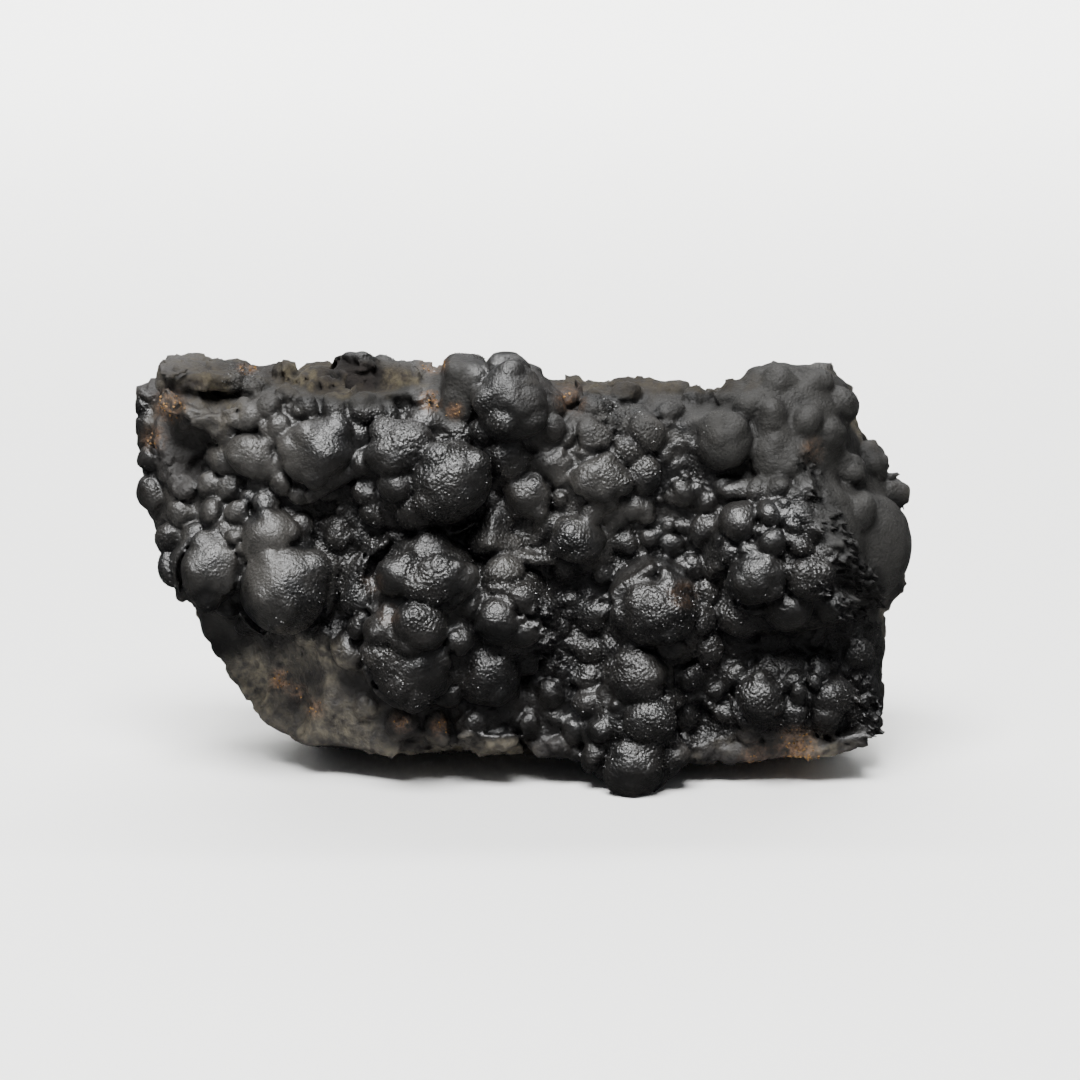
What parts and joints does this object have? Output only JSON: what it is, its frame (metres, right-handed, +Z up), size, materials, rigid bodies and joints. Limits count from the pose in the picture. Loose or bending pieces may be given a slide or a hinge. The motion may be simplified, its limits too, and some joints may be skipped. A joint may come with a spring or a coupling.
{
  "type": "goethite specimen",
  "caption": "Broken slab of massive iron oxide whose front is covered in black, grape-like goethite lobes; rests on a flat cut at its foot.",
  "frame": {"origin": "middle of the bounding box at the flat foot the specimen rests on", "axes": "+X to the right along the specimen's length, +Y from the lobed front to the broken back, +Z up"},
  "size_m": [0.134, 0.0592, 0.0739],
  "materials": {
    "goethite": "near-black botryoidal goethite crust, glossy to satin with a fine drusy grain, on dark brown massive rock with ochre spots"
  },
  "bodies": {
    "root": {"goethite": "goethite"}
  },
  "joints": []
}
